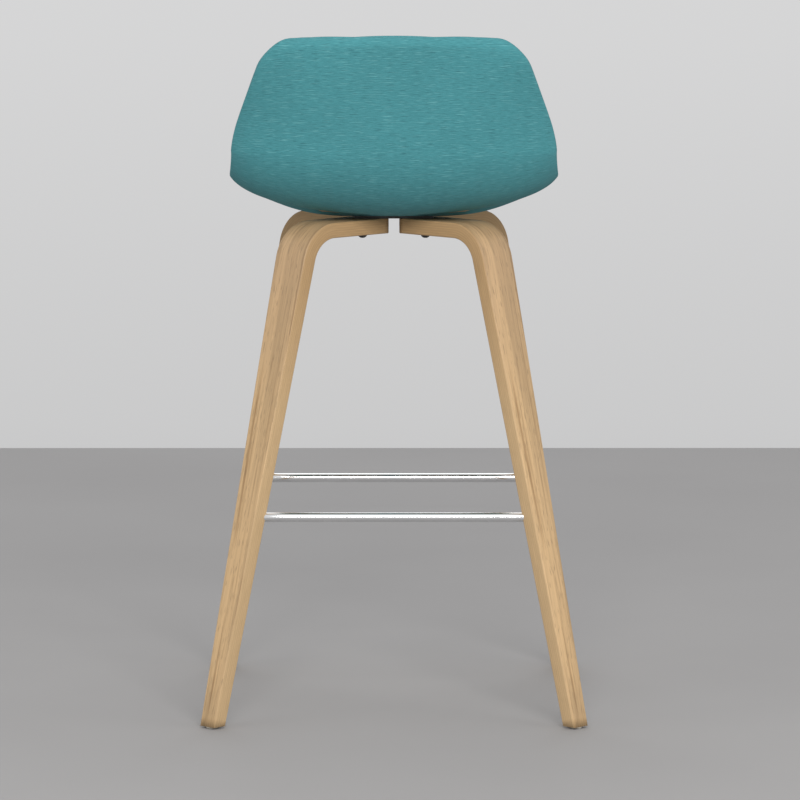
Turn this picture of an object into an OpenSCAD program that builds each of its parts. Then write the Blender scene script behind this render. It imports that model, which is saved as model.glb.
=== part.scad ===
// Bar stool: a low-back upholstered shell on four bent-plywood legs, tied by a square footrest.
// +Z is up and the sitter faces -Y. The origin is on the floor, in the middle of the four feet.
// Left and right are the sitter's.

/* [Overall] */
// Height of the shell's flat underside above the floor
seat_base_h = 736.5; // [600:0.5:890]
// Height of the back's top seam above that underside
back_h = 268; // [223:0.5:322]
// Width of the shell at the hips, from seam to seam
shell_w = 467.5; // [388:0.5:561]
// Distance from the middle of the stool to the shell's front seam
seat_front = 212; // [176:1:256]
// Distance from the middle of the stool to the start of the curve up into the back
seat_rear = 97.5; // [81:0.5:117]

/* [Shell shape] */
// Radius of the curve from the seat up into the back
rear_curve_r = 124; // [103:1:149]
// Lean of the back from the vertical, in degrees
recline = 12; // [6:1:20]
// Radius of the seat's long shallow dish, from front to rear
dish_r = 1000; // [800:10:2000]
// Rise of the sides above the middle at the hips
hip_rise = 55.5; // [46:0.5:67]
// Rise of the sides above the middle at the front edge
front_rise = 26; // [18:1:40]
// Wrap of the back's side edges round the sitter at the top
top_wrap = 19; // [15:0.5:36]
// Rise of the back's top edge in its middle
top_bow = 9; // [7:0.5:11]
// Corner radius of the back's top
top_corner_r = 37; // [24:1:60]
// Corner radius of the seat's front
front_corner_r = 70; // [40:1:90]
// Radius of the rounded padded edge
edge_r = 14; // [13:0.5:18]

/* [Shell layers] */
// Thickness of the fabric covers
cover_t = 2; // [1.5:0.5:3]
// Thickness of the moulded plywood
ply_t = 10; // [8:0.5:11]
// Extra crown of the seat foam in the middle
seat_crown = 20; // [10:1:30]
// Extra crown of the back foam in the middle
back_crown = 13; // [6:1:20]

/* [Legs] */
// Distance from the middle of the stool to the middle of each foot, along X and along Y
foot_offset = 267; // [222:1:322]
// Splay of each leg from the vertical, in its own diagonal plane, in degrees
splay = 14.2; // [8:0.1:18]
// Thickness of the bent leg
leg_t = 23; // [19:0.5:28]
// Width of the arm and of the leg's top
leg_top_w = 62; // [51:1:75]
// Width of the leg at the foot
leg_foot_w = 30; // [25:1:40]
// Distance below the shell at which the leg starts to taper
taper_start = 60; // [40:5:120]
// Inner radius of the bend
bend_r = 42; // [30:1:60]
// Clear gap between the ends of neighbouring arms
arm_gap = 16; // [8:1:30]

/* [Footrest] */
// Height of the footrest rods' axes above the floor
rod_h = 305; // [240:1:366]
// Outside diameter of the footrest rods
rod_d = 14; // [12:0.5:17]
// Wall of the footrest rods
rod_wall = 1.5; // [1:0.1:3]
// Distance of each rod's axis outside the leg's centre line
rod_shift = 3; // [2:0.5:4]
// Radial clearance of a rod in its socket
rod_fit = 0.1; // [0.05:0.05:0.3]

/* [Fastenings] */
// Width of the square mounting plate
plate_w = 120; // [116:1:144]
// Thickness of the mounting plate
plate_t = 4; // [3:0.5:5]
// Corner radius of the mounting plate
plate_corner_r = 10; // [6:1:12]
// Diameter of the leg bolts' shanks
bolt_d = 6; // [5:0.5:8]
// Distance of the leg bolts from the middle, along X and along Y
bolt_offset = 47; // [44:0.5:52]
// Distance of the locating pins from the middle, along X and along Y
pin_offset = 35; // [34:0.5:37]
// Diameter of the locating pins
pin_d = 6; // [4:0.5:8]
// Depth of the locating pins in the arms
pin_depth = 10; // [8:0.5:14]
// Distance of the plate screws from the middle
screw_offset = 50; // [46:1:54]
// Diameter of the plate screws' shanks
screw_d = 4; // [3:0.5:5]
// Radial clearance of bolts and screws in their holes
hole_fit = 0.3; // [0.2:0.05:0.6]

/* [Feet] */
// Diameter of the foot glides
glide_d = 18; // [14:0.5:21]
// Thickness of the foot glides
glide_t = 3; // [2:0.5:6]
// Diameter of the glide nails
nail_d = 2.2; // [1.8:0.1:3]
// Length of the glide nails in the wood
nail_depth = 14; // [10:1:20]

/* [Hidden] */
$fn = 64;

DEG = 180 / PI;
CUT = 1; // overrun of a cutting tool past the face that it cuts

teal = [0.24, 0.50, 0.52];
oak = [0.72, 0.58, 0.42];
foam = [0.88, 0.85, 0.72];
ply = [0.78, 0.64, 0.45];
chrome = [0.80, 0.82, 0.84];
black = [0.10, 0.10, 0.11];
zinc = [0.66, 0.67, 0.68];
nylon = [0.87, 0.85, 0.80];

// ---- heights of the stack under the shell ----
arm_top = seat_base_h - plate_t;
arm_mid = arm_top - leg_t / 2;
arm_bottom = arm_top - leg_t;
ply_bottom = seat_base_h + cover_t;
ply_top = ply_bottom + ply_t;

// ---- the shell's middle surface ----
// A point on it is given by s, the distance along the centre line from the middle of the seat, and by v,
// from -1 at one side seam to 1 at the other. The centre line is the seat's dish, the rear curve and
// the straight back; the cross-section is part of an ellipse.
dish_mid_r = dish_r - edge_r;
curve_mid_r = rear_curve_r - edge_r;
dish_cz = seat_base_h + dish_r;
curve_start_a = asin(seat_rear / dish_mid_r);
curve_end_a = 90 - recline;
curve_cy = (dish_r - rear_curve_r) * sin(curve_start_a);
curve_cz = dish_cz - (dish_r - rear_curve_r) * cos(curve_start_a);
back_y = curve_cy + curve_mid_r * sin(curve_end_a);
back_z = curve_cz - curve_mid_r * cos(curve_end_a);
s_front = -dish_mid_r * asin(seat_front / dish_mid_r) / DEG;
s_curve = dish_mid_r * curve_start_a / DEG;
s_back = s_curve + curve_mid_r * (curve_end_a - curve_start_a) / DEG;
s_top = s_back + (seat_base_h + back_h - back_z) / cos(recline);

// How the back's sides lean in, and curve in, with the height above the rear curve
side_lean = 0.1;
side_curve = 0.0011;
// How much the sides come in over the rear curve
rear_draw_in = 3.5;
// How the seat's sides draw in ahead of the hips
hip_y = 60;
seat_draw_in = 0.00045;
// The ellipse's half angle where the sides are lowest and where they are highest
flat_angle = 54.5;
steep_angle = 84.5;
// Half width of the flat patch over the mounting plate, and the blends beside it and behind it
patch_half = plate_w / 2 + 2;
side_blend = 136;
rear_blend = 20;

function smooth(t) = let (u = min(1, max(0, t))) u * u * (3 - 2 * u);
function quarter(t) = let (u = min(1, max(0, t))) sqrt(1 - (1 - u) * (1 - u));

// Centre line at s: [y, z, slope]
function centre_line(s) =
    s <= s_curve ? let (a = s / dish_mid_r * DEG) [dish_mid_r * sin(a), dish_cz - dish_mid_r * cos(a), a]
    : s <= s_back ? let (a = curve_start_a + (s - s_curve) / curve_mid_r * DEG)
        [curve_cy + curve_mid_r * sin(a), curve_cz - curve_mid_r * cos(a), a]
    : [back_y + (s - s_back) * sin(recline), back_z + (s - s_back) * cos(recline), curve_end_a];

// Half width before the corners are rounded
function side_w(s) = let (c = centre_line(s), up = c[1] - back_z)
    s <= s_curve ? shell_w / 2 - seat_draw_in * pow(min(0, c[0] - hip_y), 2)
    : s <= s_back ? shell_w / 2 - rear_draw_in * smooth((s - s_curve) / (s_back - s_curve))
    : shell_w / 2 - rear_draw_in - side_lean * up - side_curve * up * up;

function half_w(s) = side_w(s)
    - front_corner_r * (1 - quarter((s - s_front) / front_corner_r))
    - top_corner_r * (1 - quarter((s_top - s) / top_corner_r));

// Rise of the side seams above the centre line
function side_rise(s) =
    s <= s_curve ? front_rise + (hip_rise - front_rise) * smooth((s - s_front) / (s_curve - s_front))
    : top_wrap + (hip_rise - top_wrap) * (1 - smooth((s - s_back) / (s_top - s_back)));

function half_angle(s) =
    flat_angle + (steep_angle - flat_angle) * (side_rise(s) - top_wrap) / (hip_rise - top_wrap);

function shell_point(s, v) = let (c = centre_line(s), a = half_angle(s), lean = c[2] * 90 / curve_end_a,
        rise = side_rise(s) * (1 - cos(v * a)) / (1 - cos(a)),
        bow = top_bow * (1 - v * v) * smooth((s - s_back) / (s_top - s_back)))
    [half_w(s) * sin(v * a) / sin(a), c[0] - rise * sin(lean) + bow * sin(recline),
        c[1] + rise * cos(lean) + bow * cos(recline)];

step_s = 0.5;
step_v = 0.004;
function normal(s, v) = let (
        along = shell_point(min(s_top, s + step_s), v) - shell_point(max(s_front, s - step_s), v),
        across = shell_point(s, min(1, v + step_v)) - shell_point(s, max(-1, v - step_v)),
        n = cross(across, along))
    n / norm(n);

// Extra thickness of the padding on the sitter's side
function crown(s, v) = pow(1 - v * v, 1.5) * (
    seat_crown * smooth((s - s_front) / 60) * (1 - smooth((s - s_curve + 40) / (s_back - s_curve + 40)))
    + back_crown * smooth((s - s_curve) / (s_back - s_curve)) * (1 - 0.7 * smooth((s - s_top + 90) / 90)));

// ---- the grid over the surface ----
// Three narrow rings follow the seam, where the padded edge rounds off, and even cells fill the rest.
RINGS = 3;
ROWS = 22;
COLS = 12;
last_row = ROWS + 2 * RINGS;
last_col = COLS + 2 * RINGS;
split_row = RINGS + 13; // the joint between the seat's foam and the back's

function ring_dist(k) = edge_r * (1 - cos(90 * k / RINGS));
function row_s(i) =
    i <= RINGS ? s_front + ring_dist(i)
    : i >= last_row - RINGS ? s_top - ring_dist(last_row - i)
    : let (a = s_front + edge_r, b = s_top - edge_r) a + (b - a) * (i - RINGS) / ROWS;
function half_arc(s) = 1.03 * norm([half_w(s), side_rise(s)]);
function col_v(s, j) = let (q = 1 - edge_r / half_arc(s))
    j <= RINGS ? ring_dist(j) / half_arc(s) - 1
    : j >= last_col - RINGS ? 1 - ring_dist(last_col - j) / half_arc(s)
    : q * (2 * (j - RINGS) / COLS - 1);
function ring_round(k) = sin(90 * min(1, k / RINGS));
function thick(i, j) = ring_round(min(i, last_row - i)) * ring_round(min(j, last_col - j));

// Each grid point: [place on the middle surface, normal times edge thickness, crown, drop to the flat patch]
GRID = [for (i = [0 : last_row]) [for (j = [0 : last_col]) let (
        s = row_s(i), v = col_v(s, j), m = shell_point(s, v), n = normal(s, v) * thick(i, j),
        under = m - n * edge_r,
        blend = (1 - smooth((abs(under[0]) - patch_half) / side_blend))
            * (1 - smooth((abs(s) - patch_half) / rear_blend)))
    [m, n, crown(s, v), blend * (under[2] - seat_base_h)]]];

// A sheet through the padding: fixed offset from the middle surface plus a share of the crown
function sheet(offset, crown_share) = [for (row = GRID) for (g = row)
    g[0] + g[1] * (offset + crown_share * g[2]) - [0, 0, g[3]]];

OUTER_FACE = sheet(-edge_r, 0);
PLY_UNDER = sheet(-edge_r + cover_t, 0);
PLY_OVER = sheet(-edge_r + cover_t + ply_t, 0);
FOAM_OVER = sheet(edge_r - cover_t, 1);
INNER_FACE = sheet(edge_r, 1);

POINTS = (last_row + 1) * (last_col + 1);
function at(i, j) = i * (last_col + 1) + j;
function on_seam(p) = let (i = floor(p / (last_col + 1)), j = p % (last_col + 1))
    i == 0 || i == last_row || j == 0 || j == last_col;
// The two sheets share their points along the seam, where they meet
function over(p) = on_seam(p) ? p : p + POINTS;

function inside(i, j) = i >= 0 && i < last_row && j >= 0 && j < last_col;
function wall(p, q) = p < q ? [[p, q, over(q)], [p, over(q), over(p)]]
    : [[p, q, over(p)], [q, over(q), over(p)]];
function cell_faces(a, b, c, d, turned) = turned
    ? [[a, d, b], [b, d, c], [over(a), over(b), over(d)], [over(b), over(c), over(d)]]
    : [[a, c, b], [a, d, c], [over(a), over(b), over(c)], [over(a), over(c), over(d)]];

// The solid between two sheets, over the cells that keep(i, j) picks
module layer(low, high, keep) {
    middle_i = last_row / 2;
    middle_j = last_col / 2;
    cells = [for (i = [0 : last_row - 1]) for (j = [0 : last_col - 1]) if (keep(i, j)) [i, j]];
    faces = [for (cell = cells) let (i = cell[0], j = cell[1],
            a = at(i, j), b = at(i + 1, j), c = at(i + 1, j + 1), d = at(i, j + 1),
            turned = (i < middle_i) != (j < middle_j))
        each concat(cell_faces(a, b, c, d, turned),
            inside(i, j - 1) && !keep(i, j - 1) ? wall(a, b) : [],
            inside(i + 1, j) && !keep(i + 1, j) ? wall(b, c) : [],
            inside(i, j + 1) && !keep(i, j + 1) ? wall(c, d) : [],
            inside(i - 1, j) && !keep(i - 1, j) ? wall(d, a) : [])];
    polyhedron(concat(low, high), faces);
}

in_ring = function(i, j) i < RINGS || i >= last_row - RINGS || j < RINGS || j >= last_col - RINGS;

// Children, once in each quarter, at the same distance from the middle along X and along Y
module four(offset, z) {
    for (x = [-1, 1]) for (y = [-1, 1]) translate([x * offset, y * offset, z]) children();
}

// Children, once on each side of the middle
module four_sides(offset, z) {
    for (turn = [0 : 90 : 270]) rotate([0, 0, turn]) translate([offset, 0, z]) children();
}

// ---- the upholstered shell ----
tee_barrel_d = bolt_d + 2;
tee_flange_d = 19;
tee_flange_t = 1.2;
tee_sink = 0.3; // how far the flange sits below the plywood's face
tee_top = ply_top - tee_sink;
screw_depth = 7; // how far the plate screws reach into the plywood
tee_barrel_l = ply_t - tee_sink - 1;

module shell_plywood() {
    color(ply) difference() {
        layer(PLY_UNDER, PLY_OVER, function(i, j) !in_ring(i, j));
        four(bolt_offset, ply_bottom - CUT) cylinder(h = ply_t + 2 * CUT, d = tee_barrel_d);
        four(bolt_offset, tee_top - tee_flange_t) cylinder(h = tee_flange_t + tee_sink + CUT, d = tee_flange_d);
        four_sides(screw_offset, ply_bottom - CUT) cylinder(h = screw_depth + CUT, d = screw_d);
    }
}

module edge_roll() {
    color(foam) layer(PLY_UNDER, PLY_OVER, in_ring);
}

module seat_foam() {
    color(foam) layer(PLY_OVER, FOAM_OVER, function(i, j) i < split_row);
}

module back_foam() {
    color(foam) layer(PLY_OVER, FOAM_OVER, function(i, j) i >= split_row);
}

module inner_cover() {
    color(teal) layer(FOAM_OVER, INNER_FACE, function(i, j) true);
}

module outer_cover() {
    color(teal) difference() {
        layer(OUTER_FACE, PLY_UNDER, function(i, j) true);
        four(bolt_offset, seat_base_h - CUT) cylinder(h = cover_t + 2 * CUT, d = tee_barrel_d);
        four_sides(screw_offset, seat_base_h - CUT) cylinder(h = cover_t + 2 * CUT, d = screw_d + 2 * hole_fit);
    }
}

// ---- fastenings under the shell ----
bolt_hole_d = bolt_d + 2 * hole_fit;
plate_hole_d = 44;
screw_head_d = 2 * screw_d;
washer_t = 1.6;
washer_d = bolt_d + 11;
bolt_head_d = bolt_d + 9;
bolt_head_h = 6;
bolt_tip_gap = 0.5; // below the tee nut's upper face
key_d = 4.6;
key_depth = 3;
thread_fit = 0.05; // radial clearance that stands for the thread

module plate_outline() {
    core = plate_w - 2 * plate_corner_r;
    square([plate_w, core], center = true);
    square([core, plate_w], center = true);
    for (x = [-1, 1]) for (y = [-1, 1]) translate([x * core / 2, y * core / 2]) circle(r = plate_corner_r);
}

module mounting_plate() {
    color(black) difference() {
        translate([0, 0, arm_top]) linear_extrude(plate_t) plate_outline();
        translate([0, 0, arm_top - CUT]) cylinder(h = plate_t + 2 * CUT, d = plate_hole_d);
        four(bolt_offset, arm_top - CUT) cylinder(h = plate_t + 2 * CUT, d = bolt_hole_d);
        four(pin_offset, arm_top - CUT) cylinder(h = plate_t + 2 * CUT, d = pin_d);
        four_sides(screw_offset, arm_top - CUT) cylinder(h = plate_t + 2 * CUT, d = screw_d + 2 * hole_fit);
        four_sides(screw_offset, arm_top) cylinder(h = screw_d / 2, d1 = screw_head_d, d2 = screw_d);
    }
}

module plate_screws() {
    color(zinc) four_sides(screw_offset, arm_top) union() {
        cylinder(h = screw_d / 2, d1 = screw_head_d, d2 = screw_d);
        cylinder(h = ply_bottom + screw_depth - arm_top, d = screw_d);
    }
}

module tee_nuts() {
    color(zinc) four(bolt_offset, 0) difference() {
        union() {
            translate([0, 0, tee_top - tee_flange_t]) cylinder(h = tee_flange_t, d = tee_flange_d);
            translate([0, 0, tee_top - tee_barrel_l]) cylinder(h = tee_barrel_l, d = tee_barrel_d);
        }
        translate([0, 0, ply_bottom - CUT]) cylinder(h = ply_t + 2 * CUT, d = bolt_d + 2 * thread_fit);
    }
}

module leg_bolts() {
    head_z = arm_bottom - washer_t;
    dome_r = (bolt_head_d * bolt_head_d / 4 + bolt_head_h * bolt_head_h) / (2 * bolt_head_h);
    color(black) four(bolt_offset, 0) difference() {
        union() {
            translate([0, 0, head_z]) cylinder(h = tee_top - bolt_tip_gap - head_z, d = bolt_d);
            intersection() {
                translate([0, 0, head_z - bolt_head_h + dome_r]) sphere(r = dome_r);
                translate([0, 0, head_z - bolt_head_h]) cylinder(h = bolt_head_h, d = bolt_head_d);
            }
        }
        translate([0, 0, head_z - bolt_head_h - CUT]) cylinder(h = key_depth + CUT, d = key_d, $fn = 6);
    }
}

module leg_washers() {
    color(black) four(bolt_offset, arm_bottom - washer_t) difference() {
        cylinder(h = washer_t, d = washer_d);
        translate([0, 0, -CUT]) cylinder(h = washer_t + 2 * CUT, d = bolt_hole_d);
    }
}

module locating_pins() {
    color(zinc) four(pin_offset, arm_top - pin_depth) cylinder(h = pin_depth + plate_t, d = pin_d);
}

// ---- the legs ----
// Each leg is drawn in its own diagonal plane: x is the distance from the middle, y is the height.
arm_end = (leg_top_w + arm_gap * sqrt(2)) / 2;
foot_r = foot_offset * sqrt(2);
corner_x = foot_r - arm_mid * tan(splay);
bend_turn = 90 - splay;
bend_mid_r = bend_r + leg_t / 2;
bend_tangent = bend_mid_r * tan(bend_turn / 2);
bend_x = corner_x - bend_tangent;
bend_y = arm_mid - bend_mid_r;
bend_out_r = bend_r + leg_t;
leg_out = [cos(splay), sin(splay)];
taper_top = seat_base_h - taper_start;
pin_hole_spare = 1;

// A point at height z on the leg's line, shifted outwards from its middle
function on_leg(z, out) = [corner_x + (arm_mid - z) * tan(splay) + out / cos(splay), z];

module bend_sector(reach) {
    polygon([[bend_x, bend_y], [bend_x, bend_y + reach], [bend_x + reach, bend_y + reach],
        [bend_x, bend_y] + leg_out * reach]);
}

module leg_side() {
    difference() {
        polygon([[arm_end, arm_top], on_leg(arm_top, leg_t / 2), on_leg(glide_t, leg_t / 2), [arm_end, glide_t]]);
        translate([bend_x, bend_y]) circle(r = bend_r);
        polygon([[arm_end - CUT, arm_bottom], [bend_x, arm_bottom], [bend_x, bend_y],
            [bend_x, bend_y] + leg_out * bend_r, on_leg(0, -leg_t / 2), [arm_end - CUT, 0]]);
        difference() {
            bend_sector(2 * bend_out_r);
            translate([bend_x, bend_y]) circle(r = bend_out_r);
        }
    }
}

module leg_front_outline() {
    polygon([[-leg_top_w / 2, arm_top + CUT], [leg_top_w / 2, arm_top + CUT], [leg_top_w / 2, taper_top],
        [leg_foot_w / 2, glide_t - CUT], [-leg_foot_w / 2, glide_t - CUT], [-leg_top_w / 2, taper_top]]);
}

rod_axis = foot_offset - rod_h * tan(splay) / sqrt(2) + rod_shift;
rod_end_gap = 2; // between the ends of two rods in one leg
rod_half = rod_axis - rod_d / 2 - rod_end_gap;
socket_d = rod_d + 2 * rod_fit;
socket_end = rod_half + 0.5;

module leg(turn) {
    color(oak) rotate([0, 0, turn]) difference() {
        rotate([0, 0, 45]) intersection() {
            rotate([90, 0, 0]) translate([0, 0, -leg_top_w]) linear_extrude(2 * leg_top_w) leg_side();
            rotate([90, 0, 90]) linear_extrude(2 * foot_r) leg_front_outline();
        }
        translate([bolt_offset, bolt_offset, arm_bottom - CUT]) cylinder(h = leg_t + 2 * CUT, d = bolt_hole_d);
        translate([pin_offset, pin_offset, arm_top - pin_depth - pin_hole_spare])
            cylinder(h = pin_depth + pin_hole_spare + CUT, d = pin_d);
        translate([0, rod_axis, rod_h]) rotate([0, 90, 0]) cylinder(h = socket_end, d = socket_d);
        translate([rod_axis, 0, rod_h]) rotate([-90, 0, 0]) cylinder(h = socket_end, d = socket_d);
        translate([foot_offset, foot_offset, glide_t - CUT]) cylinder(h = nail_depth + CUT, d = nail_d);
    }
}

module leg_rear_left() { leg(0); }
module leg_rear_right() { leg(90); }
module leg_front_right() { leg(180); }
module leg_front_left() { leg(270); }

// ---- the footrest ----
module rod(turn) {
    color(chrome) rotate([0, 0, turn]) translate([-rod_half, rod_axis, rod_h]) rotate([0, 90, 0]) difference() {
        cylinder(h = 2 * rod_half, d = rod_d);
        translate([0, 0, -CUT]) cylinder(h = 2 * rod_half + 2 * CUT, d = rod_d - 2 * rod_wall);
    }
}

module footrest_rear() { rod(0); }
module footrest_right() { rod(90); }
module footrest_front() { rod(180); }
module footrest_left() { rod(270); }

// ---- the feet ----
nail_head_d = 5;
nail_head_t = 1;
nail_recess = 0.8; // how far the nail's head sits above the floor
glide_bevel = 0.8;

module glide(x, y) {
    color(nylon) translate([x * foot_offset, y * foot_offset, 0]) difference() {
        union() {
            cylinder(h = glide_bevel, d1 = glide_d - 2 * glide_bevel, d2 = glide_d);
            translate([0, 0, glide_bevel]) cylinder(h = glide_t - glide_bevel, d = glide_d);
        }
        translate([0, 0, -CUT]) cylinder(h = glide_t + 2 * CUT, d = nail_d);
        translate([0, 0, -CUT]) cylinder(h = nail_recess + nail_head_t + CUT, d = nail_head_d);
    }
}

module glide_front_left() { glide(1, -1); }
module glide_front_right() { glide(-1, -1); }
module glide_rear_left() { glide(1, 1); }
module glide_rear_right() { glide(-1, 1); }

module glide_nails() {
    color(zinc) four(foot_offset, nail_recess) union() {
        cylinder(h = nail_head_t, d = nail_head_d);
        cylinder(h = glide_t + nail_depth - nail_recess, d = nail_d);
    }
}

shell_plywood();
edge_roll();
seat_foam();
back_foam();
inner_cover();
outer_cover();
mounting_plate();
plate_screws();
tee_nuts();
leg_bolts();
leg_washers();
locating_pins();
leg_front_left();
leg_front_right();
leg_rear_left();
leg_rear_right();
footrest_front();
footrest_rear();
footrest_left();
footrest_right();
glide_front_left();
glide_front_right();
glide_rear_left();
glide_rear_right();
glide_nails();
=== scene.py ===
# Looks for the bar stool: the upholstered shell, bent-ply legs, chromed footrest and fittings.
# Metres, in the CAD model's own frame: +Z up, the sitter faces -Y, origin on the floor.
import math

import bpy
import bmesh
import numpy as np
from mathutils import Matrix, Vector


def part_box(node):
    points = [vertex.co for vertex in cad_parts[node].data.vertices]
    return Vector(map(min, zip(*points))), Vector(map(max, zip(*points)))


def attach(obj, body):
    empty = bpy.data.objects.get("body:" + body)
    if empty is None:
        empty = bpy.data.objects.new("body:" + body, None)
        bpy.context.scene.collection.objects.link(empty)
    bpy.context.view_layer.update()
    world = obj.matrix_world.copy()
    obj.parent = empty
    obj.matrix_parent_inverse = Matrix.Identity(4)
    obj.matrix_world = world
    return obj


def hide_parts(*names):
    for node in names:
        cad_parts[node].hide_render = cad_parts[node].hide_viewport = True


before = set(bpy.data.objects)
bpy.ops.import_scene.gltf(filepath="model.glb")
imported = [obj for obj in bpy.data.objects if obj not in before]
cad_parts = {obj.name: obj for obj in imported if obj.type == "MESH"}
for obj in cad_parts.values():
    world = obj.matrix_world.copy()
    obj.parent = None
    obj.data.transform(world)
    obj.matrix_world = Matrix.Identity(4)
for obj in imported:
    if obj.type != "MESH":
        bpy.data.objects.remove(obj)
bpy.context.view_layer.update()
MM = 0.001

# ---------------------------------------------------------------- sizes, as in the CAD model
SEAT_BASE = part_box("mounting_plate")[1].z
SHELL_W = 467.5 * MM
SEAT_FRONT = 212 * MM
SEAT_REAR = 97.5 * MM
BACK_H = 268 * MM
REAR_CURVE_R = 124 * MM
RECLINE = math.radians(12)
DISH_R = 1000 * MM
HIP_RISE = 55.5 * MM
FRONT_RISE = 26 * MM
TOP_WRAP = 19 * MM
TOP_BOW = 9 * MM
TOP_CORNER_R = 37 * MM
FRONT_CORNER_R = 70 * MM
EDGE_R = 14 * MM
SEAT_CROWN = 20 * MM
BACK_CROWN = 13 * MM
SIDE_LEAN = 0.1
SIDE_CURVE = 0.0011 / MM
REAR_DRAW_IN = 3.5 * MM
HIP_Y = 60 * MM
SEAT_DRAW_IN = 0.00045 / MM
FLAT_ANGLE = math.radians(54.5)
STEEP_ANGLE = math.radians(84.5)
PATCH_HALF = 62 * MM
SIDE_BLEND = 136 * MM
REAR_BLEND = 20 * MM

FOOT_OFFSET = 267 * MM
SPLAY = math.radians(14.2)
LEG_T = 23 * MM
LEG_TOP_W = 62 * MM
LEG_FOOT_W = 30 * MM
TAPER_START = 60 * MM
LEG_PLIES = 13
BEND_R = 42 * MM
ARM_GAP = 16 * MM
GLIDE_T = 3 * MM
ARM_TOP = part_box("mounting_plate")[0].z
ARM_MID = ARM_TOP - LEG_T / 2

# ---------------------------------------------------------------- camera, floor and light
CAMERA_DISTANCE = 8.1
CAMERA_HEIGHT = 1.44
CAMERA_PITCH = math.radians(6.95)
CAMERA_YAW = math.radians(0.064)
CAMERA_LENS = 243.5
FLOOR_HALF = 2.9
WORLD_LEVELS = (  # height from straight down, 0, to straight up, 1, and the brightness there
    (0.0, 0.34), (0.424, 0.37), (0.434, 0.585), (0.475, 0.67), (0.56, 0.66), (1.0, 0.72))
WORLD_BLUE = 1.005


def make_camera():
    data = bpy.data.cameras.new("camera")
    data.lens = CAMERA_LENS
    data.sensor_width = 36
    data.clip_end = 100
    camera = bpy.data.objects.new("camera", data)
    bpy.context.collection.objects.link(camera)
    camera.location = (0, CAMERA_DISTANCE, CAMERA_HEIGHT)
    camera.rotation_euler = (math.pi / 2 - CAMERA_PITCH, 0, math.pi - CAMERA_YAW)
    bpy.context.scene.camera = camera


def make_light(name, place, target, size, power, colour=(1, 1, 1)):
    data = bpy.data.lights.new(name, "AREA")
    data.shape = "RECTANGLE"
    data.size = size[0]
    data.size_y = size[1]
    data.energy = power
    data.color = colour
    light = bpy.data.objects.new(name, data)
    bpy.context.collection.objects.link(light)
    light.location = place
    light.rotation_euler = (Vector(target) - Vector(place)).to_track_quat("-Z", "Y").to_euler()


def make_world():
    """A pale studio: wall-bright at the horizon, floor-grey below it, a little brighter overhead."""
    world = bpy.data.worlds.new("studio")
    world.use_nodes = True
    nodes, links = world.node_tree.nodes, world.node_tree.links
    split = nodes.new("ShaderNodeSeparateXYZ")
    links.new(nodes.new("ShaderNodeTexCoord").outputs["Generated"], split.inputs[0])
    height = nodes.new("ShaderNodeMapRange")
    height.inputs["From Min"].default_value = -1
    links.new(split.outputs["Z"], height.inputs["Value"])
    ramp = nodes.new("ShaderNodeValToRGB")
    links.new(height.outputs[0], ramp.inputs[0])
    for place, _ in WORLD_LEVELS[2:]:
        ramp.color_ramp.elements.new(place)
    for element, (place, level) in zip(ramp.color_ramp.elements, WORLD_LEVELS):
        element.position = place
        element.color = (level, level, level * WORLD_BLUE, 1)
    links.new(ramp.outputs[0], nodes["Background"].inputs["Color"])
    bpy.context.scene.world = world


make_camera()
make_world()
make_light("key", (-0.5, 4.8, 3.0), (0, 0, 0.7), (2.8, 1.6), 205, (1, 0.985, 0.96))
make_light("fill_left", (3.4, 2.2, 1.5), (0, 0, 0.4), (1.2, 2.4), 14)
make_light("fill_right", (-3.4, 2.0, 1.5), (0, 0, 0.4), (1.2, 2.4), 16)
make_light("front", (0.4, -3.4, 3.4), (0, 0, 0.8), (5.0, 3.6), 48)
bpy.context.scene.view_settings.view_transform = "Standard"


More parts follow.
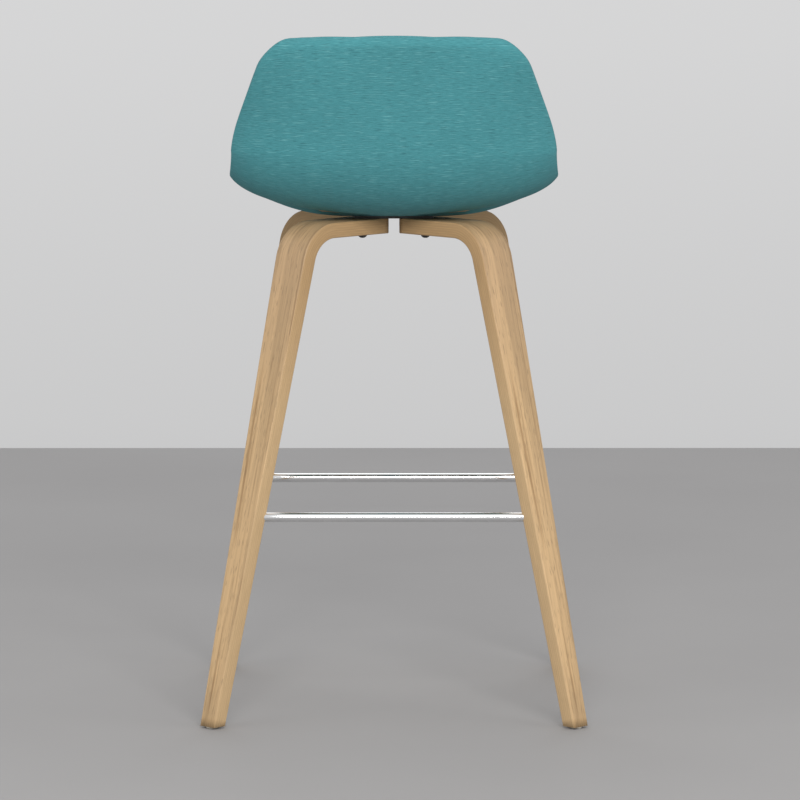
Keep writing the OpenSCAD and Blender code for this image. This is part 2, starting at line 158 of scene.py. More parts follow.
# ---------------------------------------------------------------- small node-building helpers
class Material:
    """A Principled material with short ways to add nodes and link them."""

    def __init__(self, name, **values):
        self.data = bpy.data.materials.new(name)
        self.data.use_nodes = True
        self.tree = self.data.node_tree
        self.shader = self.tree.nodes["Principled BSDF"]
        for socket, value in values.items():
            self.shader.inputs[socket.replace("_", " ")].default_value = value

    def node(self, kind, inputs=None, **settings):
        node = self.tree.nodes.new(kind)
        for key, value in settings.items():
            setattr(node, key, value)
        for socket, value in (inputs or {}).items():
            self.feed(node.inputs[socket], value)
        return node

    def feed(self, socket, value):
        if isinstance(value, bpy.types.NodeSocket):
            self.tree.links.new(value, socket)
        else:
            socket.default_value = value

    def math(self, operation, a, b=0.0, clamp=False):
        node = self.node("ShaderNodeMath", operation=operation, use_clamp=clamp)
        self.feed(node.inputs[0], a)
        self.feed(node.inputs[1], b)
        return node.outputs[0]

    def uv(self, scale_u=1.0, scale_v=1.0, shift=(0, 0, 0)):
        source = self.node("ShaderNodeUVMap", uv_map="metres").outputs[0]
        mapping = self.node("ShaderNodeMapping")
        self.feed(mapping.inputs["Vector"], source)
        mapping.inputs["Scale"].default_value = (scale_u, scale_v, 1)
        mapping.inputs["Location"].default_value = shift
        return mapping.outputs[0]

    def noise(self, vector, scale=1.0, detail=2.0, roughness=0.5, distortion=0.0):
        return self.node("ShaderNodeTexNoise", {"Vector": vector, "Scale": scale, "Detail": detail,
                                                "Roughness": roughness, "Distortion": distortion}).outputs[0]

    def ramp(self, value, stops):
        node = self.node("ShaderNodeValToRGB")
        self.feed(node.inputs[0], value)
        ramp = node.color_ramp
        while len(ramp.elements) < len(stops):
            ramp.elements.new(0.5)
        for element, (place, colour) in zip(ramp.elements, stops):
            element.position = place
            element.color = (*([colour] * 3 if isinstance(colour, (int, float)) else colour), 1)
        return node.outputs[0]

    def mix(self, factor, a, b, blend="MIX"):
        node = self.node("ShaderNodeMix", data_type="RGBA", blend_type=blend)
        self.feed(node.inputs["Factor"], factor)
        self.feed(node.inputs["A"], a if isinstance(a, bpy.types.NodeSocket) else (*a, 1))
        self.feed(node.inputs["B"], b if isinstance(b, bpy.types.NodeSocket) else (*b, 1))
        return node.outputs["Result"]

    def bump(self, height, strength, distance, under=None):
        node = self.node("ShaderNodeBump", {"Height": height, "Strength": strength, "Distance": distance})
        if under is not None:
            self.feed(node.inputs["Normal"], under)
        return node.outputs[0]

    def set(self, socket, value):
        self.feed(self.shader.inputs[socket], value)


# ---------------------------------------------------------------- materials
WARP_PITCH = 1.1 * MM
WEFT_PITCH = 0.9 * MM


def fabric_material():
    """Plain-weave teal cloth whose weft runs sideways, with long thin slubs."""
    m = Material("teal_weave", Roughness=0.9, Sheen_Weight=0.05, Sheen_Roughness=0.5, Specular_IOR_Level=0.2)
    yarn = m.noise(m.uv(100, 900), detail=3, roughness=0.7)
    base = m.ramp(yarn, [(0.3, (0.045, 0.193, 0.216)), (0.5, (0.058, 0.237, 0.263)),
                         (0.7, (0.071, 0.278, 0.306))])
    light = m.ramp(m.noise(m.uv(46, 760, (3.1, 7.7, 0)), detail=1), [(0.60, 0.0), (0.70, 1.0)])
    dark = m.ramp(m.noise(m.uv(54, 800, (11.3, 2.9, 0)), detail=1), [(0.60, 0.0), (0.70, 1.0)])
    colour = m.mix(m.math("MULTIPLY", light, 0.52), base, (0.150, 0.400, 0.425))
    colour = m.mix(m.math("MULTIPLY", dark, 0.62), colour, (0.030, 0.130, 0.150))
    broad = m.ramp(m.noise(m.uv(9, 9), detail=3), [(0.3, 0.96), (0.7, 1.04)])
    colour = m.mix(1.0, colour, broad, "MULTIPLY")
    m.set("Base Color", colour)
    split = m.node("ShaderNodeSeparateXYZ")
    m.feed(split.inputs[0], m.uv())
    warp = m.math("SINE", m.math("MULTIPLY", split.outputs[0], 2 * math.pi / WARP_PITCH))
    weft = m.math("SINE", m.math("MULTIPLY", split.outputs[1], 2 * math.pi / WEFT_PITCH))
    weave = m.math("MULTIPLY", warp, weft)
    height = m.math("ADD", m.math("MULTIPLY", weave, 0.35), m.math("MULTIPLY", light, 0.9))
    height = m.math("ADD", height, yarn)
    m.set("Normal", m.bump(height, 0.55, 0.0004))
    return m.data


def painted_shade_along_leg(m, at_arm, at_foot):
    """Painted shade under the seat: the timber tone ramps from its darker arm value, held to just past the
    bend, to its lower-leg value.
    """
    split = m.node("ShaderNodeSeparateXYZ")
    m.feed(split.inputs[0], m.uv())
    return m.ramp(split.outputs[1], [(0.20, at_arm), (0.42, at_foot)])


def oak_material(name, tone):
    """Lacquered oak veneer: long grain, short dark pores, slow random colour drift along the leg, and painted
    shade that darkens it towards the arm, under the seat.
    """
    m = Material(name, Roughness=0.5, Specular_IOR_Level=0.4, Coat_Weight=0.12, Coat_Roughness=0.35)
    warp = m.noise(m.uv(6, 2.2), detail=2)
    shifted = m.node("ShaderNodeVectorMath", operation="MULTIPLY_ADD")
    m.feed(shifted.inputs[0], warp)
    shifted.inputs[1].default_value = (0.35, 0, 0)
    m.feed(shifted.inputs[2], m.uv(130, 3.2))
    grain = m.noise(shifted.outputs[0], detail=5, roughness=0.62)
    light = tuple(c * 1.14 for c in tone)
    dark = (tone[0] * 0.60, tone[1] * 0.54, tone[2] * 0.46)
    colour = m.ramp(grain, [(0.32, dark), (0.46, tone), (0.64, light)])
    flame = m.noise(m.uv(34, 1.6, (2.3, 4.1, 0)), detail=3, distortion=0.6)
    colour = m.mix(1.0, colour, m.ramp(flame, [(0.40, 0.86), (0.52, 1.07)]), "MULTIPLY")
    fine = m.noise(m.uv(520, 9), detail=3, roughness=0.6)
    colour = m.mix(1.0, colour, m.ramp(fine, [(0.3, 0.84), (0.7, 1.10)]), "MULTIPLY")
    pores = m.ramp(m.noise(m.uv(520, 48, (5.7, 1.3, 0)), detail=1), [(0.61, 0.0), (0.69, 1.0)])
    colour = m.mix(m.math("MULTIPLY", pores, 0.6), colour, tuple(c * 0.48 for c in tone))
    # Painted shade: the veneer is darker towards the arm, under the seat, and a touch brighter on the lower
    # leg.
    m.set("Base Color", m.mix(1.0, colour, painted_shade_along_leg(m, (0.90, 0.89, 0.93), 1.03), "MULTIPLY"))
    m.set("Roughness", m.ramp(grain, [(0.3, 0.56), (0.7, 0.44)]))
    height = m.math("SUBTRACT", m.math("MULTIPLY", fine, 0.5), pores)
    m.set("Normal", m.bump(height, 0.35, 0.0003))
    return m.data


def ply_edge_material(name, tone):
    """The bent legs' sides, where the stacked veneers show as fine lines."""
    m = Material(name, Roughness=0.58, Specular_IOR_Level=0.35)
    split = m.node("ShaderNodeSeparateXYZ")
    m.feed(split.inputs[0], m.uv())
    layer = m.math("DIVIDE", split.outputs[0], LEG_T / LEG_PLIES)
    wobble = m.math("MULTIPLY", m.noise(m.uv(30, 6), detail=2), 0.25)
    layer = m.math("ADD", layer, wobble)
    part = m.math("FRACT", layer)
    odd = m.math("FRACT", m.math("MULTIPLY", m.math("FLOOR", layer), 0.5))
    glue = m.ramp(part, [(0.0, 1.0), (0.10, 0.0), (0.90, 0.0), (1.0, 1.0)])
    fibre = m.noise(m.uv(1400, 28), detail=3, roughness=0.6)
    colour = m.mix(m.math("MULTIPLY", odd, 1.2), tone, tuple(c * 0.86 for c in tone))
    colour = m.mix(1.0, colour, m.ramp(fibre, [(0.3, 0.84), (0.7, 1.10)]), "MULTIPLY")
    colour = m.mix(m.math("MULTIPLY", glue, 0.35), colour, tuple(c * 0.5 for c in tone))
    # Painted shade: the ply edges are darker and warmer towards the arm, under the seat, and brighter on the
    # lower leg.
    m.set("Base Color", m.mix(1.0, colour, painted_shade_along_leg(m, (0.87, 0.81, 0.74), 1.06), "MULTIPLY"))
    m.set("Normal", m.bump(m.math("SUBTRACT", fibre, glue), 0.3, 0.0003))
    return m.data


def chrome_material():
    m = Material("polished_chrome", Metallic=1.0)
    smudge = m.noise(m.uv(60, 14), detail=4, roughness=0.65)
    m.set("Base Color", m.ramp(smudge, [(0.3, (0.80, 0.81, 0.82)), (0.7, (0.88, 0.885, 0.89))]))
    m.set("Roughness", m.ramp(smudge, [(0.35, 0.13), (0.75, 0.19)]))
    return m.data


def coated_material(name, colour, roughness):
    """Powder coat or moulded nylon: a fine pebble and a little unevenness."""
    m = Material(name, Specular_IOR_Level=0.45)
    place = m.node("ShaderNodeTexCoord").outputs["Object"]
    pebble = m.noise(place, scale=1800, detail=2)
    drift = m.noise(place, scale=60, detail=3)
    low, high = tuple(c * 0.88 for c in colour), tuple(c * 1.1 for c in colour)
    m.set("Base Color", m.ramp(drift, [(0.3, low), (0.7, high)]))
    m.set("Roughness", m.ramp(drift, [(0.3, roughness - 0.06), (0.7, roughness + 0.06)]))
    m.set("Normal", m.bump(pebble, 0.25, 0.0001))
    return m.data


def zinc_material():
    m = Material("zinc_plate", Metallic=1.0)
    place = m.node("ShaderNodeTexCoord").outputs["Object"]
    drift = m.noise(place, scale=240, detail=4)
    m.set("Base Color", m.ramp(drift, [(0.3, (0.50, 0.51, 0.50)), (0.7, (0.66, 0.66, 0.63))]))
    m.set("Roughness", m.ramp(drift, [(0.3, 0.28), (0.7, 0.42)]))
    return m.data


def inner_wood_material():
    """The moulded plywood under the cover."""
    m = Material("moulded_ply", Roughness=0.7)
    place = m.node("ShaderNodeTexCoord").outputs["Object"]
    stretch = m.node("ShaderNodeMapping")
    m.feed(stretch.inputs["Vector"], place)
    stretch.inputs["Scale"].default_value = (220, 14, 14)
    grain = m.noise(stretch.outputs[0], detail=4)
    m.set("Base Color", m.ramp(grain, [(0.3, (0.46, 0.32, 0.18)), (0.7, (0.62, 0.46, 0.28))]))
    return m.data


FABRIC = fabric_material()
OAK_FACE = oak_material("oak_veneer", (0.485, 0.325, 0.168))
OAK_EDGE = ply_edge_material("oak_ply_edge", (0.50, 0.345, 0.185))
CHROME = chrome_material()
BLACK = coated_material("black_powder_coat", (0.022, 0.021, 0.021), 0.46)
NYLON = coated_material("glide_nylon", (0.66, 0.62, 0.53), 0.5)
ZINC = zinc_material()
INNER_PLY = inner_wood_material()


# ---------------------------------------------------------------- the shell's surface
DISH_MID_R = DISH_R - EDGE_R
CURVE_MID_R = REAR_CURVE_R - EDGE_R
DISH_CZ = SEAT_BASE + DISH_R
CURVE_START = math.asin(SEAT_REAR / DISH_MID_R)
CURVE_END = math.pi / 2 - RECLINE
CURVE_CY = (DISH_R - REAR_CURVE_R) * math.sin(CURVE_START)
CURVE_CZ = DISH_CZ - (DISH_R - REAR_CURVE_R) * math.cos(CURVE_START)
BACK_Y = CURVE_CY + CURVE_MID_R * math.sin(CURVE_END)
BACK_Z = CURVE_CZ - CURVE_MID_R * math.cos(CURVE_END)
S_FRONT = -DISH_MID_R * math.asin(SEAT_FRONT / DISH_MID_R)
S_CURVE = DISH_MID_R * CURVE_START
S_BACK = S_CURVE + CURVE_MID_R * (CURVE_END - CURVE_START)
S_TOP = S_BACK + (SEAT_BASE + BACK_H - BACK_Z) / math.cos(RECLINE)


def smooth(t):
    u = np.clip(t, 0, 1)
    return u * u * (3 - 2 * u)


def quarter(t):
    u = np.clip(t, 0, 1)
    return np.sqrt(np.maximum(0, 1 - (1 - u) ** 2))


def centre_line(s):
    """The shell's middle line at distance s from the middle of the seat: y, z and slope."""
    in_seat = s <= S_CURVE
    in_curve = s <= S_BACK
    a_seat = s / DISH_MID_R
    a_curve = CURVE_START + (np.minimum(s, S_BACK) - S_CURVE) / CURVE_MID_R
    past = s - S_BACK
    y = np.where(in_seat, DISH_MID_R * np.sin(a_seat),
                 np.where(in_curve, CURVE_CY + CURVE_MID_R * np.sin(a_curve),
                          BACK_Y + past * math.sin(RECLINE)))
    z = np.where(in_seat, DISH_CZ - DISH_MID_R * np.cos(a_seat),
                 np.where(in_curve, CURVE_CZ - CURVE_MID_R * np.cos(a_curve),
                          BACK_Z + past * math.cos(RECLINE)))
    return y, z, np.where(in_seat, a_seat, a_curve)


def half_width(s):
    y, z, _ = centre_line(s)
    up = z - BACK_Z
    in_seat = SHELL_W / 2 - SEAT_DRAW_IN * np.minimum(0, y - HIP_Y) ** 2
    in_curve = SHELL_W / 2 - REAR_DRAW_IN * smooth((s - S_CURVE) / (S_BACK - S_CURVE))
    in_back = SHELL_W / 2 - REAR_DRAW_IN - SIDE_LEAN * up - SIDE_CURVE * up * up
    width = np.where(s <= S_CURVE, in_seat, np.where(s <= S_BACK, in_curve, in_back))
    width = width - FRONT_CORNER_R * (1 - quarter((s - S_FRONT) / FRONT_CORNER_R))
    return width - TOP_CORNER_R * (1 - quarter((S_TOP - s) / TOP_CORNER_R))


def side_rise(s):
    seat = FRONT_RISE + (HIP_RISE - FRONT_RISE) * smooth((s - S_FRONT) / (S_CURVE - S_FRONT))
    back = TOP_WRAP + (HIP_RISE - TOP_WRAP) * (1 - smooth((s - S_BACK) / (S_TOP - S_BACK)))
    return np.where(s <= S_CURVE, seat, back)


def shell_point(s, v):
    y, z, slope = centre_line(s)
    rise_at_side = side_rise(s)
    angle = FLAT_ANGLE + (STEEP_ANGLE - FLAT_ANGLE) * (rise_at_side - TOP_WRAP) / (HIP_RISE - TOP_WRAP)
    lean = slope * (math.pi / 2) / CURVE_END
    rise = rise_at_side * (1 - np.cos(v * angle)) / (1 - np.cos(angle))
    x = half_width(s) * np.sin(v * angle) / np.sin(angle)
    bow = TOP_BOW * (1 - v * v) * smooth((s - S_BACK) / (S_TOP - S_BACK))
    return np.stack([x, y - rise * np.sin(lean) + bow * math.sin(RECLINE),
                     z + rise * np.cos(lean) + bow * math.cos(RECLINE)], -1)


def shell_normal(s, v):
    ds, dv = 0.5 * MM, 0.004
    along = shell_point(np.minimum(S_TOP, s + ds), v) - shell_point(np.maximum(S_FRONT, s - ds), v)
    across = shell_point(s, np.minimum(1, v + dv)) - shell_point(s, np.maximum(-1, v - dv))
    n = np.cross(across, along)
    return n / np.linalg.norm(n, axis=-1, keepdims=True)


def crown(s, v):
    """How much the padding stands proud: most in the middle of the seat and of the back."""
    front, waist, top = 60 * MM, 40 * MM, 90 * MM
    seat = smooth((s - S_FRONT) / front) * (1 - smooth((s - S_CURVE + waist) / (S_BACK - S_CURVE + waist)))
    back = smooth((s - S_CURVE) / (S_BACK - S_CURVE)) * (1 - 0.7 * smooth((s - S_TOP + top) / top))
    return (1 - v * v) ** 1.5 * (SEAT_CROWN * seat + BACK_CROWN * back)


# ---------------------------------------------------------------- the two covers
CLOTH_SETTINGS = {
    "vertex_group_mass": "sewn", "use_pressure": True, "uniform_pressure_force": 1.2, "quality": 6,
    "mass": 0.35, "tension_stiffness": 30, "compression_stiffness": 12, "shear_stiffness": 8,
    "bending_stiffness": 1.5, "shrink_min": -0.006}
CLOTH_FRAMES = 20
CLOTH_CAP = 6 * MM
HELD_REACH = 1.2 * EDGE_R  # how far from the seam the stitching still holds the cloth
CLOTH_EASING = 24  # passes that even out the settled shape
SEAM_DEPTH = 1.5 * MM
SEAM_HALF_W = 1.7 * MM
SHORT_PUCKER = 9.3 * MM
LONG_PUCKER = 22.7 * MM
EDGE_ROWS = 12  # rows of cells that follow the rounded edge
RING_POWER = 1.4  # crowds those rows towards the seam
ROWS = 116
COLS = 104
ARC_OVER_CHORD = 1.03  # how much longer the shell's curved half is than its straight reach


def ring_angle(k):
    """How far round the quarter-circle edge ring k is; the rings crowd towards the seam."""
    return np.pi / 2 * (k / EDGE_ROWS) ** RING_POWER


def ring(k):
    return EDGE_R * (1 - np.cos(ring_angle(k)))


def shell_grid():
    """Distances s and v for each grid point, and how round the padded edge is there."""
    k = np.arange(EDGE_ROWS)
    inner_s = np.linspace(S_FRONT + EDGE_R, S_TOP - EDGE_R, ROWS + 1)
    s = np.concatenate([S_FRONT + ring(k), inner_s, (S_TOP - ring(k))[::-1]])
    half_arc = ARC_OVER_CHORD * np.hypot(half_width(s), side_rise(s))[:, None]
    spread = np.linspace(-1, 1, COLS + 1)[None, :] * (1 - EDGE_R / half_arc)
    left = ring(k)[None, :] / half_arc - 1
    v = np.concatenate([left, spread, -left[:, ::-1]], 1)
    rounding = np.sin(ring_angle(k))
    row_round = np.concatenate([rounding, np.ones(ROWS + 1), rounding[::-1]])
    col_round = np.concatenate([rounding, np.ones(COLS + 1), rounding[::-1]])
    from_seam = EDGE_R * np.arcsin(np.minimum(row_round[:, None], col_round[None, :]))
    return np.repeat(s[:, None], v.shape[1], 1), v, row_round[:, None] * col_round[None, :], from_seam


S, V, ROUND, FROM_SEAM = shell_grid()
MIDDLE = shell_point(S, V)
NORMAL = shell_normal(S, V) * ROUND[..., None]
UNDER = MIDDLE - NORMAL * EDGE_R
FLATTEN = (1 - smooth((np.abs(UNDER[..., 0]) - PATCH_HALF) / SIDE_BLEND)) \
    * (1 - smooth((np.abs(S) - PATCH_HALF) / REAR_BLEND))
DROP = FLATTEN * (UNDER[..., 2] - SEAT_BASE)


def shell_sheet(offset, crown_share):
    points = MIDDLE + NORMAL * (offset + crown_share * crown(S, V)[..., None])
    points[..., 2] -= DROP
    return points


def arc_lengths(points, axis):
    step = np.linalg.norm(np.diff(points, axis=axis), axis=-1)
    total = np.cumsum(step, axis=axis)
    pad = [(0, 0), (0, 0)]
    pad[axis] = (1, 0)
    return np.pad(total, pad)


def link(obj, material, smooth_shading=True):
    bpy.context.collection.objects.link(obj)
    for m in material if isinstance(material, (list, tuple)) else [material]:
        obj.data.materials.append(m)
    if smooth_shading:
        obj.data.shade_smooth()
    return obj


def grid_piece(name, points, uv, material, flip=False):
    """A mesh from a rectangular array of points, with its UVs in metres."""
    rows, cols = points.shape[:2]
    index = np.arange(rows * cols).reshape(rows, cols)
    a, b = index[:-1, :-1].ravel(), index[1:, :-1].ravel()
    c, d = index[1:, 1:].ravel(), index[:-1, 1:].ravel()
    quads = np.stack([a, b, c, d] if flip else [a, d, c, b], -1)
    mesh = bpy.data.meshes.new(name)
    mesh.from_pydata(points.reshape(-1, 3).tolist(), [], quads.tolist())
    layer = mesh.uv_layers.new(name="metres")
    layer.data.foreach_set("uv", uv.reshape(-1, 2)[quads.ravel()].astype(np.float32).ravel())
    return link(bpy.data.objects.new(name, mesh), material)


def shell_uv(points):
    across = arc_lengths(points, 1)
    middle = across.shape[1] // 2
    across = across - across[:, middle:middle + 1]
    along = np.repeat(arc_lengths(points, 0)[:, middle:middle + 1], points.shape[1], 1)
    return np.stack([across, along], -1)


def sheet_normals(points, side):
    """Outward normals of a grid; a corner, where the grid has no area, takes its neighbours'."""
    down = np.gradient(points, axis=0)
    across = np.gradient(points, axis=1)
    n = np.cross(across, down) * side
    n /= np.maximum(1e-12, np.linalg.norm(n, axis=-1, keepdims=True))
    for i, next_i in ((0, 1), (-1, -2)):
        for j, next_j in ((0, 1), (-1, -2)):
            n[i, j] = (n[i, next_j] + n[next_i, j]) / 2
    return n


def cut_seam(outer, inner):
    """Draw both covers in where they are sewn together, a little unevenly, as thread does."""
    outer_n, inner_n = sheet_normals(outer, -1), sheet_normals(inner, 1)
    rim = np.zeros(FROM_SEAM.shape, bool)
    rim[[0, -1], :] = True
    rim[:, [0, -1]] = True
    shared = outer_n[rim] + inner_n[rim]
    shared /= np.linalg.norm(shared, axis=-1, keepdims=True)
    outer_n[rim] = shared
    inner_n[rim] = shared
    turns = (arc_lengths(MIDDLE, 0) + arc_lengths(MIDDLE, 1)) * 2 * np.pi
    pucker = 1 + 0.22 * np.sin(turns / SHORT_PUCKER) + 0.15 * np.sin(turns / LONG_PUCKER + 1)
    groove = (SEAM_DEPTH * pucker * np.exp(-(FROM_SEAM / SEAM_HALF_W) ** 2))[..., None]
    return outer - outer_n * groove, inner - inner_n * groove


def settle_cloth(piece, from_seam):
    """Let the cover puff between its sewn edges, then cap and even out how far its points moved."""
    before = np.array([v.co for v in piece.data.vertices])
    pins = piece.vertex_groups.new(name="sewn")
    for index, distance in enumerate(from_seam.ravel()):
        pins.add([index], max(0.0, 1 - distance / HELD_REACH) ** 2, "REPLACE")
    cloth = piece.modifiers.new("cloth", "CLOTH")
    for setting, value in CLOTH_SETTINGS.items():
        setattr(cloth.settings, setting, value)
    cloth.settings.effector_weights.gravity = 0
    cloth.point_cache.frame_start = 1
    cloth.point_cache.frame_end = CLOTH_FRAMES
    scene = bpy.context.scene
    for number in range(1, CLOTH_FRAMES + 1):
        scene.frame_set(number)
    settled = piece.evaluated_get(bpy.context.evaluated_depsgraph_get())
    after = np.array([v.co for v in settled.data.vertices])
    piece.modifiers.remove(cloth)
    scene.frame_set(1)
    move = (after - before).reshape(*from_seam.shape, 3)
    size = np.maximum(1e-9, np.linalg.norm(move, axis=-1, keepdims=True))
    move *= CLOTH_CAP * np.tanh(size / CLOTH_CAP) / size
    for _ in range(CLOTH_EASING):
        padded = np.pad(move, ((1, 1), (1, 1), (0, 0)), mode="edge")
        beside = padded[:-2, 1:-1] + padded[2:, 1:-1] + padded[1:-1, :-2] + padded[1:-1, 2:]
        move = (move + beside / 4) / 2
    move *= smooth(from_seam / (EDGE_R * math.pi / 2))[..., None]
    piece.data.vertices.foreach_set("co", (before + move.reshape(-1, 3)).astype(np.float32).ravel())
    piece.data.update()


outer_points, inner_points = cut_seam(shell_sheet(-EDGE_R, 0), shell_sheet(EDGE_R, 1))
UV_APART = 5.0  # keeps the two covers' patterns from matching
outer_cover = grid_piece("outer_cover_fabric", outer_points, shell_uv(outer_points), FABRIC)
inner_cover = grid_piece("inner_cover_fabric", inner_points, shell_uv(inner_points) + UV_APART, FABRIC,
                         flip=True)
settle_cloth(inner_cover, FROM_SEAM)
for cover, nodes in ((outer_cover, ["outer_cover"]),
                     (inner_cover, ["inner_cover", "seat_foam", "back_foam", "edge_roll"])):
    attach(cover, "root")
    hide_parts(*nodes)


# ---------------------------------------------------------------- the bent legs
EDGE_ROUND = 2.2 * MM
CORNER_STEPS = 4
ARM_STATIONS, BEND_STATIONS, SHANK_STATIONS = 16, 24, 64
FOOT_R = FOOT_OFFSET * math.sqrt(2)
CORNER_X = FOOT_R - ARM_MID * math.tan(SPLAY)
BEND_TURN = math.pi / 2 - SPLAY
BEND_MID_R = BEND_R + LEG_T / 2
BEND_TANGENT = BEND_MID_R * math.tan(BEND_TURN / 2)
ARM_END = (LEG_TOP_W + ARM_GAP * math.sqrt(2)) / 2
TAPER_TOP = SEAT_BASE - TAPER_START


def leg_path():
    """Stations along the leg's middle line, in its own plane: x, z and angle below level."""
    bend_x = CORNER_X - BEND_TANGENT
    stations = [(x, ARM_MID, 0.0) for x in np.linspace(ARM_END, bend_x, ARM_STATIONS)[:-1]]
    for turn in np.linspace(0, BEND_TURN, BEND_STATIONS):
        stations.append((bend_x + BEND_MID_R * math.sin(turn),
                         ARM_MID - BEND_MID_R * (1 - math.cos(turn)), turn))
    x0, z0, _ = stations[-1]
    reach = (z0 - GLIDE_T) / math.cos(SPLAY)
    for t in np.linspace(0, reach, SHANK_STATIONS)[1:]:
        stations.append((x0 + t * math.sin(SPLAY), z0 - t * math.cos(SPLAY), BEND_TURN))
    return np.array(stations)


def leg_section(width):
    """A rounded rectangle as (across, outward) points, starting at the outer broad face's corner."""
    points = []
    x, y = width / 2 - EDGE_ROUND, LEG_T / 2 - EDGE_ROUND
    for cx, cy, start in ((x, y, 0), (-x, y, 90), (-x, -y, 180), (x, -y, 270)):
        for k in range(CORNER_STEPS + 1):
            a = math.radians(start + 90 * k / CORNER_STEPS)
            points.append((cx + EDGE_ROUND * math.cos(a), cy + EDGE_ROUND * math.sin(a)))
    return points


def leg_rings(azimuth):
    """Sections along the leg, each a list of (across, outward, place) with its length along the leg."""
    stations = leg_path()
    steps = np.linalg.norm(np.diff(stations[:, :2], axis=0), axis=1)
    lengths = np.concatenate([[0], np.cumsum(steps)])
    across = Vector((-math.sin(azimuth), math.cos(azimuth), 0))
    radial = Vector((math.cos(azimuth), math.sin(azimuth), 0))
    rings = []
    for (x, z, turn), length in zip(stations, lengths):
        taper = min(1, max(0, (z - GLIDE_T) / (TAPER_TOP - GLIDE_T)))
        out_x, out_z = math.sin(turn), math.cos(turn)
        section = leg_section(LEG_FOOT_W + (LEG_TOP_W - LEG_FOOT_W) * taper)
        rings.append(([(p, q, radial * (x + q * out_x) + across * p + Vector((0, 0, z + q * out_z)))
                       for p, q in section], length))
    last, last_length = rings[-1]
    down = radial * math.sin(SPLAY) - Vector((0, 0, math.cos(SPLAY)))
    foot = [(p, q, place + down * ((place.z - GLIDE_T) / math.cos(SPLAY))) for p, q, place in last]
    above = [ring for ring in rings[:-1] if min(place.z for _, _, place in ring[0]) > GLIDE_T + 1 * MM]
    return above + [(foot, last_length)]


def leg_piece(name, azimuth):
    """One bent leg. Each side's UVs lie apart, so that no two sides show the same grain."""
    rings = leg_rings(azimuth)
    mesh = bpy.data.meshes.new(name)
    bm = bmesh.new()
    uv = bm.loops.layers.uv.new("metres")
    verts = [[bm.verts.new(place) for _, _, place in ring] for ring, _ in rings]
    count = len(verts[0])
    for i, ((ring, length), (next_ring, next_length)) in enumerate(zip(rings, rings[1:])):
        for j in range(count):
            k = (j + 1) % count
            face = bm.faces.new([verts[i][j], verts[i + 1][j], verts[i + 1][k], verts[i][k]])
            face.smooth = True
            corners = [ring[j], next_ring[j], next_ring[k], ring[k]]
            mid_p = (ring[j][0] + ring[k][0]) / 2
            mid_q = (ring[j][1] + ring[k][1]) / 2
            on_edge = abs(ring[j][0] - ring[k][0]) < abs(ring[j][1] - ring[k][1])
            face.material_index = 1 if on_edge else 0
            lengths = (length, next_length, next_length, length)
            for loop, (p, q, _), along in zip(face.loops, corners, lengths):
                u = q + (3 if mid_p > 0 else 4) if on_edge else p + (1 if mid_q > 0 else 2)
                loop[uv].uv = (u, along)
    for end_verts, ring in ((verts[0], rings[0][0]), (verts[-1][::-1], rings[-1][0][::-1])):
        face = bm.faces.new(end_verts)
        face.material_index = 1
        for loop, (p, q, _) in zip(face.loops, ring):
            loop[uv].uv = (q + 6, p)
    bmesh.ops.recalc_face_normals(bm, faces=bm.faces)
    bm.to_mesh(mesh)
    bm.free()
    obj = link(bpy.data.objects.new(name + "_oak", mesh), [OAK_FACE, OAK_EDGE], smooth_shading=False)
    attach(obj, "root")
    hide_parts(name)


for name, azimuth in (("leg_rear_left", 45), ("leg_rear_right", 135),
                      ("leg_front_right", 225), ("leg_front_left", 315)):
    leg_piece(name, math.radians(azimuth))


# ---------------------------------------------------------------- turned and tubular pieces
HEX = math.pi / 3
KEY_R = 2.3 * MM * math.cos(HEX / 2)  # from the middle to the flats of the recess in a bolt's head
LATHE_SEGMENTS = 48
TUBE_SEGMENTS = 56
ROLL = 1.2 * MM  # how far the rolled end of a tube reaches


def lathe(name, profile, places, material, replaced):
    """Pieces of revolution about vertical axes, from (radius, height) points, one at each place."""
    mesh = bpy.data.meshes.new(name)
    bm = bmesh.new()
    for place in places:
        rings = []
        for radius, height in profile:
            if radius < 1e-7:
                rings.append([bm.verts.new((place[0], place[1], place[2] + height))])
            else:
                angles = [2 * math.pi * k / LATHE_SEGMENTS for k in range(LATHE_SEGMENTS)]
                reach = [radius / math.cos(a % HEX - HEX / 2) if radius == KEY_R else radius for a in angles]
                rings.append([bm.verts.new((place[0] + r * math.cos(a), place[1] + r * math.sin(a),
                                            place[2] + height)) for a, r in zip(angles, reach)])
        for a, b in zip(rings, rings[1:]):
            for k in range(LATHE_SEGMENTS):
                n = (k + 1) % LATHE_SEGMENTS
                if len(a) == 1:
                    bm.faces.new([a[0], b[k], b[n]])
                elif len(b) == 1:
                    bm.faces.new([a[k], b[0], a[n]])
                else:
                    bm.faces.new([a[k], b[k], b[n], a[n]])
    bmesh.ops.recalc_face_normals(bm, faces=bm.faces)
    for face in bm.faces:
        face.smooth = True
    bm.to_mesh(mesh)
    bm.free()
    obj = link(bpy.data.objects.new(name, mesh), material, smooth_shading=False)
    mesh.set_sharp_from_angle(angle=math.radians(40))
    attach(obj, "root")
    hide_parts(*replaced)


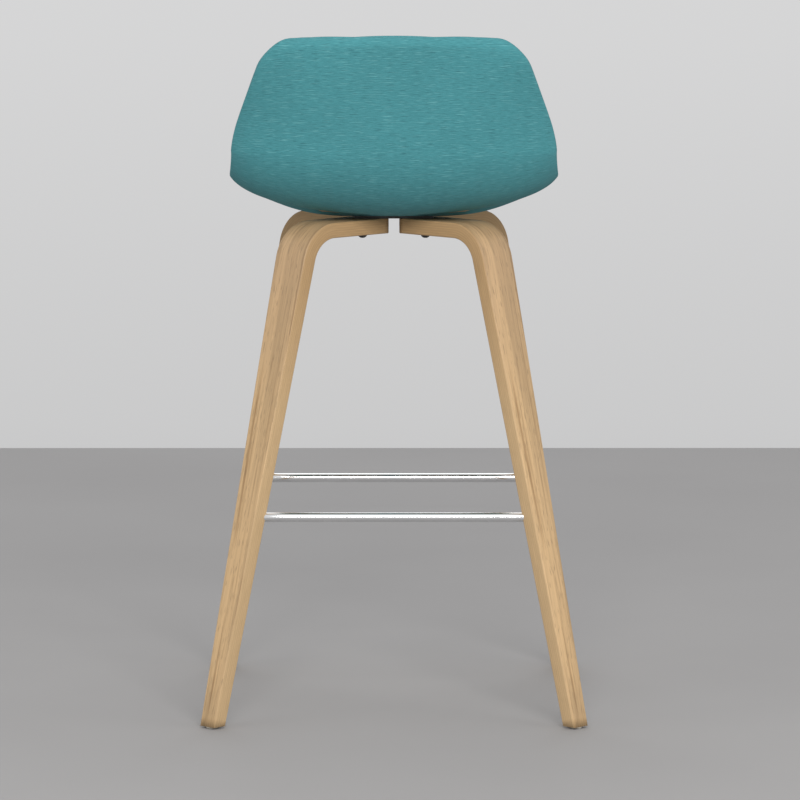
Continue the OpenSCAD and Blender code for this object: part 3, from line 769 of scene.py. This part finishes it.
def rod_piece(name, node):
    """A footrest tube along its CAD node, with rolled ends."""
    low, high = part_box(node)
    along_x = (high.x - low.x) > (high.y - low.y)
    centre = (low + high) / 2
    radius = (high.z - low.z) / 2
    half = ((high.x - low.x) if along_x else (high.y - low.y)) / 2
    stations = [(-half, radius - ROLL), (-half + 0.35 * ROLL, radius - 0.3 * ROLL), (-half + ROLL, radius)]
    stations += [(t, radius) for t in np.linspace(-half + ROLL, half - ROLL, 9)[1:-1]]
    stations += [(-t, r) for t, r in stations[:3][::-1]]
    points = np.zeros((len(stations), TUBE_SEGMENTS + 1, 3))
    uv = np.zeros((len(stations), TUBE_SEGMENTS + 1, 2))
    for i, (t, r) in enumerate(stations):
        for j in range(TUBE_SEGMENTS + 1):
            a = 2 * math.pi * j / TUBE_SEGMENTS
            side, up = r * math.cos(a), r * math.sin(a)
            points[i, j] = (t, side, up) if along_x else (-side, t, up)
            uv[i, j] = (a * radius, t)
    points += np.array(centre)
    obj = grid_piece(name, points, uv, CHROME)
    bm = bmesh.new()
    bm.from_mesh(obj.data)
    bmesh.ops.remove_doubles(bm, verts=bm.verts, dist=1e-6)
    bmesh.ops.holes_fill(bm, edges=[e for e in bm.edges if e.is_boundary], sides=TUBE_SEGMENTS + 2)
    bmesh.ops.recalc_face_normals(bm, faces=bm.faces)
    bm.to_mesh(obj.data)
    bm.free()
    obj.data.shade_smooth()
    obj.data.set_sharp_from_angle(angle=math.radians(50))
    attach(obj, "root")
    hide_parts(node)


for side in ("front", "rear", "left", "right"):
    rod_piece("footrest_%s_tube" % side, "footrest_" + side)


BOLT_OFFSET = 47 * MM
WASHER_LOW, WASHER_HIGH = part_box("leg_washers")
BOLT_LOW, BOLT_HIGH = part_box("leg_bolts")
bolt_places = [(x * BOLT_OFFSET, y * BOLT_OFFSET, 0) for x in (-1, 1) for y in (-1, 1)]
washer_r = (WASHER_HIGH.x - WASHER_LOW.x) / 2 - BOLT_OFFSET
head_r = (BOLT_HIGH.x - BOLT_LOW.x) / 2 - BOLT_OFFSET
z_head = WASHER_LOW.z
head_h = z_head - BOLT_LOW.z
dome_r = (head_r ** 2 + head_h ** 2) / (2 * head_h)
dome_end = math.asin(min(1, head_r / dome_r)) if head_h < dome_r else math.pi / 2
bolt_profile = [(0, 3 * MM), (KEY_R, 3 * MM), (KEY_R, 0.55 * MM), (2.9 * MM, 0.45 * MM)]
dome_angles = np.linspace(0.43, 0.94 * dome_end, 10)
bolt_profile += [(dome_r * math.sin(a), dome_r * (1 - math.cos(a))) for a in dome_angles]
bolt_profile += [(head_r - 0.1 * MM, head_h - 0.5 * MM), (head_r - 0.3 * MM, head_h)]
bolt_profile = [(r, h + BOLT_LOW.z) for r, h in bolt_profile]
bolt_profile += [(3 * MM, z_head), (3 * MM, BOLT_HIGH.z - 0.6 * MM),
                 (2.4 * MM, BOLT_HIGH.z), (0, BOLT_HIGH.z)]
lathe("leg_bolts_domed", bolt_profile, bolt_places, BLACK, ["leg_bolts"])
w0, w1 = WASHER_LOW.z, WASHER_HIGH.z
washer_profile = [(3.3 * MM, w0), (washer_r - 0.3 * MM, w0), (washer_r, w0 + 0.3 * MM),
                  (washer_r, w1), (3.3 * MM, w1), (3.3 * MM, w0)]
lathe("leg_washers_black", washer_profile, bolt_places, BLACK, ["leg_washers"])

for name in ("front_left", "front_right", "rear_left", "rear_right"):
    low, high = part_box("glide_" + name)
    middle = (low + high) / 2
    r = (high.x - low.x) / 2
    t = high.z
    profile = [(1.1 * MM, t), (r - 0.2 * MM, t), (r, t - 0.3 * MM), (r, 1.3 * MM),
               (r - 0.3 * MM, 0.6 * MM), (r - 1.1 * MM, 0),
               (3.2 * MM, 0), (2.6 * MM, 0.3 * MM), (2.5 * MM, 1.8 * MM), (1.1 * MM, 1.8 * MM), (1.1 * MM, t)]
    lathe("glide_%s_nylon" % name, profile, [(middle.x, middle.y, 0)], NYLON,
          ["glide_" + name])


# ---------------------------------------------------------------- CAD nodes that keep their shape
def dress(node, material, bevel=0.0):
    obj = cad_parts[node]
    obj.data.materials.clear()
    obj.data.materials.append(material)
    if bevel:
        modifier = obj.modifiers.new("soft_edges", "BEVEL")
        modifier.width = bevel
        modifier.segments = 2
        modifier.limit_method = "ANGLE"


dress("mounting_plate", BLACK, 0.4 * MM)
dress("plate_screws", ZINC)
dress("tee_nuts", ZINC)
dress("locating_pins", ZINC)
dress("glide_nails", ZINC)
dress("shell_plywood", INNER_PLY)


# ---------------------------------------------------------------- floor
def make_floor():
    mesh = bpy.data.meshes.new("floor")
    f = FLOOR_HALF
    mesh.from_pydata([(-f, -f, 0), (f, -f, 0), (f, f, 0), (-f, f, 0)], [], [(0, 1, 2, 3)])
    m = Material("floor_grey", Roughness=0.75)
    place = m.node("ShaderNodeTexCoord").outputs["Object"]
    drift = m.noise(place, scale=1.3, detail=3)
    m.set("Base Color", m.ramp(drift, [(0.3, (0.272, 0.267, 0.268)), (0.7, (0.290, 0.285, 0.286))]))
    floor = link(bpy.data.objects.new("floor", mesh), m.data, smooth_shading=False)


make_floor()
